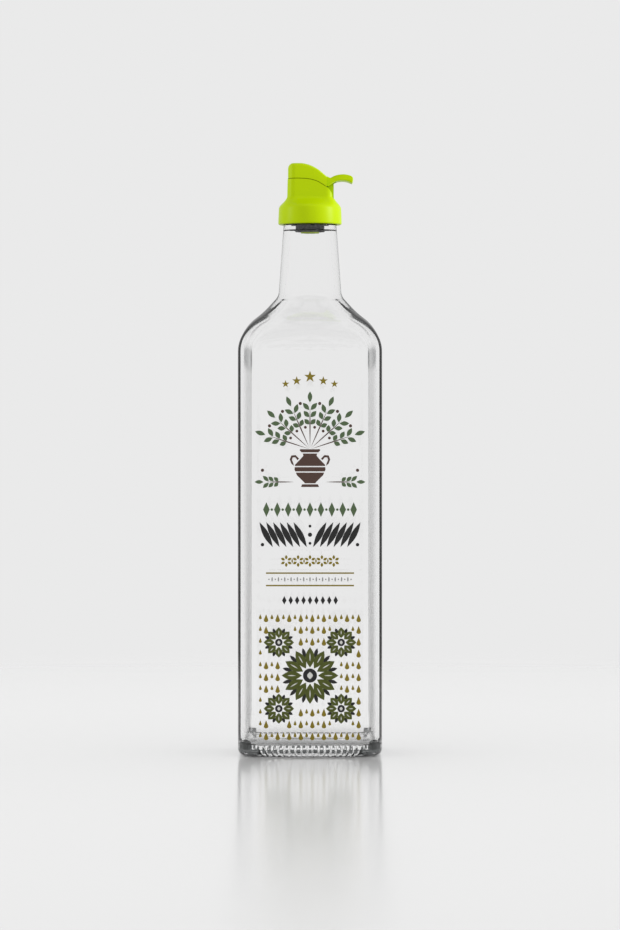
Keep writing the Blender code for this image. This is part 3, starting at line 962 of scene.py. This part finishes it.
class CRUET_OT_pourer(bpy.types.Operator):
    """Model the collar, the flare, the spout with its well, the tube and the hinge post."""

    bl_idname = "cruet.pourer"
    bl_label = "Pourer"

    def execute(self, context):
        sizes = settings("cruet_pourer")
        pourer = self.body(sizes)
        apply_boolean(pourer, self.above_seam(), "DIFFERENCE")
        apply_boolean(pourer, hinge_post(), "UNION")
        apply_boolean(pourer, self.well(sizes), "DIFFERENCE")
        apply_boolean(pourer, pin_shape("pin_hole", 0.3 * MM, -5 * MM, 5 * MM), "DIFFERENCE")
        smooth(pourer)
        finish_piece(pourer, lime_plastic(), BODY, ["pourer", "tube"])
        return {"FINISHED"}

    def body(self, sizes):
        """One skin: spout, flare, collar, hollow, tube and channel, closed at the top."""
        top = LID_HIGH.z
        centre = 0.5 * (sizes.spout_rear - sizes.spout_front)
        half_x = 0.5 * (sizes.spout_rear + sizes.spout_front)
        lean = (sizes.spout_front - sizes.spout_front_top) * 0.5
        pourer = start_ring(
            "pourer_body",
            half_x - lean,
            sizes.spout_half_width,
            sizes.spout_corner,
            top,
            corner_steps=14,
            flat_steps=12,
        )
        bpy.ops.transform.translate(value=(centre + lean, 0, 0))
        grow_ring(sizes.spout_start, half_x, sizes.spout_half_width, shift_x=centre)
        done = 0.0
        steps = 14
        radius = sizes.collar_high - 0.2 * MM
        for step in range(1, steps + 1):
            share = step / steps
            blend = 1.0 - math.sin(0.5 * math.pi * (1.0 - share)) ** 1.5
            turn = (blend - done) / (1.0 - done) if done < 1.0 else 1.0
            done = blend
            reach_x = half_x + (radius - half_x) * blend
            reach_y = sizes.spout_half_width + (radius - sizes.spout_half_width) * blend
            z = sizes.spout_start + (sizes.collar_top - sizes.spout_start) * share
            grow_ring(z, reach_x, reach_y, roundness=turn, shift_x=centre * (1.0 - blend))
        edge = 0.7 * MM
        low = TUBE_LOW
        bottom = POURER_LOW.z
        inner = sizes.collar_inside
        ceiling = NECK_HIGH.z + 1.8 * MM
        grow_circles(
            [
                (sizes.collar_high - 0.05 * MM, sizes.collar_top - 0.3 * MM),
                (sizes.collar_high, sizes.collar_top - 0.9 * MM),
                (sizes.collar_low, bottom + edge),
                (sizes.collar_low - 0.1 * edge, bottom + 0.6 * edge),
                (sizes.collar_low - 0.3 * edge, bottom + 0.3 * edge),
                (sizes.collar_low - 0.6 * edge, bottom + 0.1 * edge),
                (sizes.collar_low - edge, bottom),
                (inner + 0.2 * MM, bottom),
                (inner, bottom + 0.2 * MM),
                (inner, ceiling),
                (sizes.tube, ceiling),
                (sizes.tube, low.z + 0.15 * MM),
                (sizes.tube - 0.15 * MM, low.z),
                (sizes.channel, low.z),
                (sizes.channel, top),
            ]
        )
        select_where(lambda e: e.is_boundary, "edges")
        bpy.ops.mesh.bridge_edge_loops()
        face_outwards()
        close_edit()
        return pourer

    def above_seam(self):
        """What is taken off the spout: all above the seam and behind the side walls."""
        outline = [(x, z - 0.5 * SEAM_GAP) for x, z in smooth_line(SEAM)]
        outline += smooth_line(REAR_EDGE)
        ledge = 289.2 * MM
        high = LID_HIGH.z + 5 * MM
        outline += [(12 * MM, ledge), (20 * MM, ledge), (20 * MM, high), (-14 * MM, high)]
        cutter = draw_outline("above_seam", outline)
        draw_out(24 * MM, -12 * MM)
        close_edit()
        return cutter

    def well(self, sizes):
        """The hollow under the lid, with a deck that drains back to the channel."""
        wall = settings("cruet_lid").wall
        front = -sizes.spout_front_top + wall
        rear = 7.6 * MM
        half = sizes.spout_half_width - wall
        top = LID_HIGH.z
        outline = [(front, 294.0 * MM), (rear, 290.6 * MM), (rear, top), (front, top)]
        well = draw_outline("spout_well", outline)
        draw_out(2 * half, -half)

        def upright(edge):
            a, b = (v.co for v in edge.verts)
            return abs(a.x - b.x) < 1e-6 and abs(a.y - b.y) < 1e-6

        select_where(upright, "edges")
        bpy.ops.mesh.bevel(offset=sizes.spout_corner - wall, segments=8, affect="EDGES")
        face_outwards()
        close_edit()
        return well


def pin_shape(name, extra, low_y, high_y):
    """A round bar on the hinge axis."""
    lid = settings("cruet_lid")
    pin = draw_outline(name, arc(lid.hinge_x, lid.hinge_z, 0.7 * MM + extra, 0, 350, 35))
    draw_out(high_y - low_y, low_y)
    close_edit()
    return pin


def hinge_post():
    """The narrow post behind the well, with a round head about the hinge axis."""
    lid = settings("cruet_lid")
    outline = arc(lid.hinge_x, lid.hinge_z, lid.knuckle, 0, 180, 32)
    foot = 288.0 * MM
    outline += [(lid.hinge_x - lid.knuckle, foot), (lid.hinge_x + lid.knuckle, foot)]
    post = draw_outline("hinge_post", outline)
    draw_out(2 * lid.post_half_width, -lid.post_half_width)
    close_edit()
    return post


class CRUET_OT_lid(bpy.types.Operator):
    """Model the hollow flip lid, its thumb lever and the stub pins that it turns on."""

    bl_idname = "cruet.lid"
    bl_label = "Flip lid"

    def execute(self, context):
        sizes = settings("cruet_lid")
        lid = self.shell(sizes)
        apply_boolean(lid, self.lever(sizes), "UNION")
        apply_boolean(lid, self.slot(sizes), "DIFFERENCE")
        for low_y, high_y in ((-4.5, -1.0), (1.0, 4.5)):
            apply_boolean(lid, pin_shape("stub_pin", 0.0, low_y * MM, high_y * MM), "UNION")
        smooth(lid)
        finish_piece(lid, lime_plastic(), LID, ["lid"])
        return {"FINISHED"}

    def shell(self, sizes):
        """The hollow cover: sections drawn from the front to the back wall."""
        pourer = settings("cruet_pourer")
        front = -pourer.spout_front_top
        corner = pourer.spout_corner
        seam = smooth_line(SEAM)
        crown = smooth_line(CROWN)
        stations = [front + corner * (1 - math.cos(math.radians(a))) for a in range(4, 91, 6)]
        start = stations[-1]
        count = 24
        stations += [start + (sizes.rear - start) * n / count for n in range(1, count + 1)]
        lid = self.first_section(sizes)
        for number, x in enumerate(stations):
            half_y = pourer.spout_half_width
            reach = front + corner - x
            if reach > 0:
                half_y -= corner - math.sqrt(corner**2 - reach**2)
            top = height_on(crown, x)
            over = front + sizes.front_round - x
            if over > 0:
                top -= sizes.front_round - math.sqrt(sizes.front_round**2 - over**2)
            low = height_on(seam, x) + 0.5 * SEAM_GAP
            if number:
                bpy.ops.mesh.extrude_region_move(
                    TRANSFORM_OT_translate={"value": (x - stations[number - 1], 0, 0)}
                )
            fit_selected((x, -half_y, low), (x, half_y, top))
        close_holes()
        face_outwards()
        self.open_underside(seam)
        close_edit()
        apply_modifier(lid, "SOLIDIFY", thickness=sizes.wall, offset=-1.0, use_even_offset=True)
        return lid

    def first_section(self, sizes):
        """An upright section with round top corners, at the front of the lid."""
        half = 5.0 * MM
        tall = 8.0 * MM
        edge = sizes.edge
        start_y, start_z = -half + edge, tall - edge
        outline = [(-half, 0.0)]
        outline += arc(start_y, start_z, edge, 180, 90, 6)
        outline += arc(-start_y, start_z, edge, 90, 0, 6)
        outline += [(half, 0.0)]
        lid = draw_outline("flip_lid", outline)
        bpy.ops.mesh.select_all(action="SELECT")
        bpy.ops.mesh.delete(type="ONLY_FACE")
        bpy.ops.mesh.select_all(action="SELECT")
        for vert in mesh_now().verts:
            vert.co = Vector((-11.5 * MM, vert.co.x, vert.co.z + 300 * MM))
        bmesh.update_edit_mesh(lid.data)
        return lid

    def open_underside(self, seam):
        """Take away the faces that lie on the seam."""
        gap = SEAM_GAP

        def on_seam(face):
            return all(abs(v.co.z - height_on(seam, v.co.x) - 0.5 * gap) < 0.02 * MM for v in face.verts)

        select_where(on_seam, "faces")
        bpy.ops.mesh.delete(type="FACE")

    def lever(self, sizes):
        """The curved thumb lever with soft edges."""
        outline = smooth_line(LEVER_TOP)[:-1] + smooth_line(LEVER_BOTTOM)
        outline += [(x * MM, z * MM) for x, z in LEVER_ROOT]
        lever = draw_outline("thumb_lever", outline)
        draw_out(2 * sizes.lever_half_width, -sizes.lever_half_width)
        side = sizes.lever_half_width - 1e-5

        def on_side(edge):
            a, b = edge.verts
            return abs(a.co.y) > side and a.co.y * b.co.y > 0 and len(edge.link_faces) == 2

        select_where(on_side, "edges")
        bpy.ops.mesh.bevel(offset=0.4 * MM, segments=3, affect="EDGES")
        close_edit()
        return lever

    def slot(self, sizes):
        """Room for the post in the middle of the lever, through the lid's whole swing."""
        radius = sizes.knuckle + 0.3 * MM
        reach = 9.0 * MM
        swing = LID_SWING + 3
        outline = [(sizes.hinge_x - radius, sizes.hinge_z - reach)]
        outline += arc(sizes.hinge_x, sizes.hinge_z, radius, 180, 90 - swing, 30)
        last_x, last_z = outline[-1]
        away = math.radians(10 - swing)
        outline.append((last_x + reach * math.cos(away), last_z + reach * math.sin(away)))
        outline.append((last_x + 2 * MM, sizes.hinge_z - reach))
        half = sizes.post_half_width + 0.3 * MM
        slot = draw_outline("lever_slot", outline)
        draw_out(2 * half, -half)
        close_edit()
        return slot


# The printed front


def star_outline():
    points = []
    for step in range(10):
        angle = math.radians(36 * step)
        radius = 0.5 if step % 2 == 0 else 0.2
        points.append((radius * math.sin(angle), radius * math.cos(angle)))
    return points


def leaf_outline(steps=6):
    """A pointed oval, one wide and one long, with its foot at the origin."""
    right = [(0.5 * math.sin(math.pi * n / steps), n / steps) for n in range(steps + 1)]
    return right + [(-x, z) for x, z in reversed(right[1:-1])]


def drop_outline():
    """A drop, one wide and two long, with its point at the top."""
    return [(0.0, 0.0), (0.17, -0.45)] + arc(0.0, -1.5, 0.5, 28, -208, 10) + [(-0.17, -0.45)]


def disc_outline(steps=16):
    return arc(0.0, 0.0, 0.5, 0, 360 - 360 / steps, steps - 1)


def diamond_outline():
    return [(0.0, -0.5), (0.5, 0.0), (0.0, 0.5), (-0.5, 0.0)]


def square_outline():
    return [(-0.5, -0.5), (0.5, -0.5), (0.5, 0.5), (-0.5, 0.5)]


def from_root(x, z, turn, reach, aside=0.0):
    """A place at a reach along a direction that is turned clockwise from upright."""
    angle = math.radians(turn)
    across = math.radians(turn + 90)
    return (
        x + reach * math.sin(angle) + aside * math.sin(across),
        z + reach * math.cos(angle) + aside * math.cos(across),
    )


def spray(x, z, turn, length, pairs, leaf, width, spread=42):
    """Places of leaves in pairs along a stem, with one more at its tip."""
    places = []
    for number in range(pairs):
        share = (number + 1) / (pairs + 1)
        reach = length * (0.42 + 0.58 * share)
        size_now = leaf * (0.55 + 0.45 * share)
        for side in (-1, 1):
            at = from_root(x, z, turn, reach - 0.3 * leaf, side * 0.35)
            places.append((*at, width, size_now, turn + side * spread))
    places.append((*from_root(x, z, turn, length - 0.25 * leaf), width, leaf, turn))
    return places


def print_piece(name, ink_name, stamps, depth=None):
    """Stamps of one ink, joined and laid on the glass."""
    depth = settings("cruet_print").ink if depth is None else depth
    pieces = [stamp(name, outline, places, depth) for outline, places in stamps]
    piece = join_pieces(name, pieces) if len(pieces) > 1 else pieces[0]
    finish_piece(piece, ink(ink_name), BODY)


class CRUET_OT_stars(bpy.types.Operator):
    """Print five stars in an arc."""

    bl_idname = "cruet.stars"
    bl_label = "Stars"

    def execute(self, context):
        places = [(0.0, 195.6, 6.3, 6.3, 0)]
        for side in (-1, 1):
            places.append((side * 6.83, 193.5, 4.9, 4.9, 0))
            places.append((side * 12.55, 191.9, 4.1, 4.1, 0))
        print_piece("print_stars", "gold", [(star_outline(), places)])
        return {"FINISHED"}


class CRUET_OT_jar(bpy.types.Operator):
    """Print the upper ornament: a jar with a fan of leafy stems."""

    bl_idname = "cruet.jar"
    bl_label = "Jar ornament"

    def execute(self, context):
        sizes = settings("cruet_print")
        foot = sizes.jar_foot / MM
        root = sizes.fan_root / MM
        leaves, stems, berries = [], [], []
        for number in range(-3, 4):
            turn = 24 * number
            leaves += spray(0, root, turn, 25.5, 3, 5.6, 2.4)
            stems.append((*from_root(0, root, turn, 0.5), 0.6, 22.0, turn))
        for number in range(-3, 3):
            berries.append((*from_root(0, root, 24 * number + 12, 24.0), 1.7, 1.7, 0))
            berries.append((*from_root(0, root, 24 * number + 12, 11.5), 1.5, 1.5, 0))
        for side in (-1, 1):
            leaves += spray(side * 8.0, foot + 2.6, side * 90, 17.0, 3, 4.6, 2.0)
            stems.append((side * 8.0, foot + 2.6, 0.6, 14.5, side * 90))
            berries.append((side * 24.4, foot + 8.6, 1.7, 1.7, 0))
        stamps = [(slice_of_jar(low, high), [(0, foot, 1, 1, 0)]) for low, high in JAR_SLICES]
        for side in (-1, 1):
            handle = [(side * x, z) for x, z in JAR_HANDLE]
            stamps.append((handle, [(0, foot, 1, 1, 0)]))
        stamps.append((leaf_outline(), stems))
        stamps.append((disc_outline(12), berries))
        print_piece("print_jar", "brown", stamps)
        print_piece("print_leaves", "green", [(leaf_outline(), leaves)])
        return {"FINISHED"}


JAR_PROFILE = [
    (0.0, 4.6),
    (1.2, 4.2),
    (2.0, 2.7),
    (3.0, 3.6),
    (6.0, 6.7),
    (9.0, 8.0),
    (11.5, 7.7),
    (14.0, 5.2),
    (16.0, 3.4),
    (17.4, 3.8),
    (18.6, 5.2),
    (19.4, 5.2),
]
JAR_SLICES = [(0.0, 1.4), (1.9, 7.4), (8.0, 10.2), (10.8, 17.2), (17.8, 19.4)]
JAR_HANDLE = [
    (5.6, 14.6),
    (7.4, 16.4),
    (9.6, 16.2),
    (10.4, 14.2),
    (9.6, 12.0),
    (8.3, 10.9),
    (8.5, 12.1),
    (9.3, 14.0),
    (8.8, 15.2),
    (7.6, 15.2),
    (6.4, 13.8),
]


def slice_of_jar(low, high):
    """The part of the jar between two heights over its foot, as an outline."""
    heights = [low] + [z for z, _ in JAR_PROFILE if low < z < high] + [high]
    right = [(height_on(JAR_PROFILE, z), z) for z in heights]
    return right + [(-x, z) for x, z in reversed(right)]


class CRUET_OT_borders(bpy.types.Operator):
    """Print the ornamental rows and the two rules between them."""

    bl_idname = "cruet.borders"
    bl_label = "Ornamental rows"

    def execute(self, context):
        rule = settings("cruet_print").rule_half / MM
        lozenges = [(5.6 * n, 127.4, 3.4, 7.6, 0) for n in range(-4, 5)]
        dots = [(5.6 * (n + 0.5), 127.4, 1.3, 1.3, 0) for n in range(-4, 4)]
        print_piece("print_row_green", "green", [(diamond_outline(), lozenges), (disc_outline(), dots)])
        band, beads = [], [(0, 114.5, 2.2, 2.2, 0)]
        for side in (-1, 1):
            for number in range(6):
                band.append((side * (1.6 + 3.5 * number), 108.1, 3.1, 14.6, side * 28))
            beads.append((side * 24.4, 109.4, 1.8, 1.8, 0))
        beads += [(0, 118.9, 1.5, 1.5, 0), (0, 110.1, 1.5, 1.5, 0)]
        print_piece("print_row_black", "black", [(leaf_outline(), band), (disc_outline(), beads)])
        petals, hearts = [], []
        for number in range(-2, 3):
            for petal in range(6):
                at = from_root(6.1 * number, 101.0, 60 * petal, 0.8)
                petals.append((*at, 1.4, 2.3, 60 * petal))
            hearts.append((6.1 * (number + 0.5), 101.0, 0.9, 3.2, 0))
        rules = [(0, z, 2 * rule, 0.75, 0) for z in (94.8, 88.4)]
        stamps = [(leaf_outline(), petals), (diamond_outline(), hearts[:-1])]
        print_piece("print_row_gold", "gold", stamps + [(square_outline(), rules)])
        beads = [(1.62 * n, 91.6, 0.8, 0.8 if n % 2 else 2.4, 0) for n in range(-13, 14)]
        print_piece("print_row_grey", "grey", [(disc_outline(10), beads)])
        small = [(3.3 * n, 80.8, 2.3, 4.4, 0) for n in range(-4, 5)]
        print_piece("print_row_small", "black", [(diamond_outline(), small)])
        return {"FINISHED"}


# X, height over the middle one and radius of each rosette, in millimetres
ROSETTES = [
    (0.0, 0.0, 14.6),
    (-16.0, 17.0, 7.8),
    (16.0, 17.0, 7.8),
    (-16.0, -17.0, 7.8),
    (16.0, -17.0, 7.8),
]


class CRUET_OT_drops(bpy.types.Operator):
    """Print the grid of large and small drops, open where the rosettes lie."""

    bl_idname = "cruet.drops"
    bl_label = "Drop grid"

    def execute(self, context):
        sizes = settings("cruet_print")
        pitch = sizes.column_pitch / MM
        middle = sizes.rosette_height / MM
        places = []
        for row in range(11):
            z = (sizes.drop_top - row * sizes.row_pitch) / MM
            for column in range(9):
                for x, wide, tall in ((-22.55, 2.35, 2.05), (-25.5, 1.55, 1.3)):
                    places.append((x + pitch * column, z, wide, tall, 0))

        def clear(place):
            x, z = place[0], place[1] - place[3]
            return all(math.hypot(x - a, z - middle - b) > r + 1.0 for a, b, r in ROSETTES)

        print_piece("print_drops", "gold", [(drop_outline(), list(filter(clear, places)))])
        return {"FINISHED"}


class CRUET_OT_rosettes(bpy.types.Operator):
    """Print the lower ornament: one large rosette and four small ones."""

    bl_idname = "cruet.rosettes"
    bl_label = "Rosettes"

    def execute(self, context):
        middle = settings("cruet_print").rosette_height / MM
        petals, darts, rings, lights = [], [], [], []
        for x, up, radius in ROSETTES:
            z = middle + up
            count = 12 if radius > 10 else 8
            wide = 1.5 * math.pi * radius / count
            for number in range(count):
                turn = 360 * number / count
                foot = from_root(x, z, turn, 0.28 * radius)
                petals.append((*foot, wide * 0.86, 0.72 * radius, turn))
                foot = from_root(x, z, turn, 0.5 * radius)
                lights.append((*foot, wide * 0.1, 0.3 * radius, turn))
                between = turn + 180 / count
                foot = from_root(x, z, between, 0.66 * radius)
                darts.append((*foot, wide * 0.34, 0.34 * radius, between))
            rings.append((x, z, 0.5 * radius, 0.5 * radius, 0))
            lights.append((x, z - 0.13 * radius, 0.2 * radius, 0.26 * radius, 0))
        print_piece("print_petals", "olive", [(leaf_outline(), petals)])
        print_piece("print_darts", "black", [(leaf_outline(), darts), (disc_outline(20), rings)])
        highlight = settings("cruet_print").highlight
        print_piece("print_lights", "pale", [(leaf_outline(), lights)], highlight)
        return {"FINISHED"}


# The stage

LENS = 148.0
CAMERA_AWAY = 2.0
CAMERA_HEIGHT = 150.3 * MM
SOFT_BOXES = [
    ("soft_box_right", (0.59, -0.12, 0.40), 0.14, 0.35, 3.6),
    ("soft_box_left", (-0.59, -0.12, 0.38), 0.10, 0.35, 1.1),
]


class CRUET_OT_stage(bpy.types.Operator):
    """Add the pale floor, the studio light and the camera."""

    bl_idname = "cruet.stage"
    bl_label = "Studio"

    def execute(self, context):
        self.floor()
        self.sky()
        self.soft_boxes()
        self.camera()
        context.scene.view_settings.view_transform = "Standard"
        return {"FINISHED"}

    def floor(self):
        start_piece()
        bpy.ops.mesh.primitive_circle_add(
            vertices=128, radius=1.2, fill_type="NGON", location=(0, 0, -0.0001)
        )
        floor = bpy.context.object
        floor.name = "floor"
        material, tree, output = new_material("Pale floor")
        nodes, links = tree.nodes, tree.links
        shader = nodes.new("ShaderNodeBsdfPrincipled")
        shader.inputs["Base Color"].default_value = (0.98, 0.98, 0.98, 1.0)
        shader.inputs["Emission Color"].default_value = (1.0, 1.0, 1.0, 1.0)
        shader.inputs["Emission Strength"].default_value = 0.028
        shader.inputs["Specular IOR Level"].default_value = 0.9
        blur = nodes.new("ShaderNodeMapRange")
        blur.interpolation_type = "SMOOTHSTEP"
        blur.inputs["From Min"].default_value = 0.2
        blur.inputs["From Max"].default_value = 0.9
        blur.inputs["To Min"].default_value = 0.15
        blur.inputs["To Max"].default_value = 0.265
        clear = nodes.new("ShaderNodeBsdfTransparent")
        place = nodes.new("ShaderNodeTexCoord")
        away = nodes.new("ShaderNodeVectorMath")
        away.operation = "LENGTH"
        fade = nodes.new("ShaderNodeMapRange")
        fade.interpolation_type = "SMOOTHSTEP"
        fade.inputs["From Min"].default_value = 0.55
        fade.inputs["From Max"].default_value = 1.15
        mix = nodes.new("ShaderNodeMixShader")
        links.new(place.outputs["Object"], away.inputs[0])
        links.new(away.outputs["Value"], fade.inputs["Value"])
        links.new(away.outputs["Value"], blur.inputs["Value"])
        links.new(blur.outputs[0], shader.inputs["Roughness"])
        links.new(fade.outputs[0], mix.inputs[0])
        links.new(shader.outputs[0], mix.inputs[1])
        links.new(clear.outputs[0], mix.inputs[2])
        links.new(mix.outputs[0], output.inputs["Surface"])
        floor.data.materials.append(material)

    def sky(self):
        world = bpy.data.worlds.new("Studio light")
        bpy.context.scene.world = world
        world.use_nodes = True
        nodes, links = world.node_tree.nodes, world.node_tree.links
        bright = nodes["Background"]
        bright.inputs["Color"].default_value = (*settings("cruet_colours").backdrop, 1.0)
        dim = nodes.new("ShaderNodeBackground")
        dim.inputs["Color"].default_value = (*settings("cruet_colours").backdrop, 1.0)
        dim.inputs["Strength"].default_value = 0.45
        path = nodes.new("ShaderNodeLightPath")
        mirrored = nodes.new("ShaderNodeMath")
        mirrored.operation = "MULTIPLY"
        mix = nodes.new("ShaderNodeMixShader")
        links.new(path.outputs["Is Singular Ray"], mirrored.inputs[0])
        links.new(path.outputs["Is Reflection Ray"], mirrored.inputs[1])
        links.new(mirrored.outputs[0], mix.inputs[0])
        links.new(bright.outputs[0], mix.inputs[1])
        links.new(dim.outputs[0], mix.inputs[2])
        links.new(mix.outputs[0], nodes["World Output"].inputs["Surface"])

    def soft_boxes(self):
        """Two soft boxes at the sides that light only the pourer and its lid."""
        target = Vector((0, 0, 290 * MM))
        lit = bpy.data.collections.new("lit_by_soft_boxes")
        for name in ("pourer_body", "flip_lid"):
            lit.objects.link(bpy.data.objects[name])
        for name, place, wide, tall, power in SOFT_BOXES:
            start_piece()
            bpy.ops.object.light_add(type="AREA", location=place)
            light = bpy.context.object
            light.name = name
            light.data.shape = "RECTANGLE"
            light.data.size = wide
            light.data.size_y = tall
            light.data.energy = power
            light.rotation_euler = (target - Vector(place)).to_track_quat("-Z", "Y").to_euler()
            light.light_linking.receiver_collection = lit
            light.visible_camera = False

    def camera(self):
        start_piece()
        bpy.ops.object.camera_add(
            location=(0, -CAMERA_AWAY, CAMERA_HEIGHT), rotation=(math.radians(90), 0, 0)
        )
        camera = bpy.context.object
        camera.name = "camera"
        camera.data.lens = LENS
        bpy.context.scene.camera = camera


OPERATORS = [
    CRUET_OT_glass,
    CRUET_OT_stopper,
    CRUET_OT_pourer,
    CRUET_OT_lid,
    CRUET_OT_stars,
    CRUET_OT_jar,
    CRUET_OT_borders,
    CRUET_OT_drops,
    CRUET_OT_rosettes,
    CRUET_OT_stage,
]


class CRUET_PT_panel(bpy.types.Panel):
    """The cruet's pieces and settings."""

    bl_idname = "CRUET_PT_panel"
    bl_label = "Oil Cruet"
    bl_space_type = "VIEW_3D"
    bl_region_type = "UI"
    bl_category = "Cruet"

    def draw(self, context):
        column = self.layout.column()
        for operator in OPERATORS:
            column.operator(operator.bl_idname)
        for name, group in GROUPS.items():
            box = column.box()
            for key in group.__annotations__:
                box.prop(getattr(context.scene, name), key)


def register():
    for group in GROUPS.values():
        bpy.utils.register_class(group)
    for name, group in GROUPS.items():
        setattr(bpy.types.Scene, name, PointerProperty(type=group))
    for operator in OPERATORS:
        bpy.utils.register_class(operator)
    bpy.utils.register_class(CRUET_PT_panel)


def unregister():
    bpy.utils.unregister_class(CRUET_PT_panel)
    for operator in reversed(OPERATORS):
        bpy.utils.unregister_class(operator)
    for name, group in GROUPS.items():
        delattr(bpy.types.Scene, name)
        bpy.utils.unregister_class(group)


def main():
    """Build every piece in order."""
    register()
    for operator in OPERATORS:
        group, name = operator.bl_idname.split(".")
        getattr(getattr(bpy.ops, group), name)()


if __name__ == "__main__":
    main()
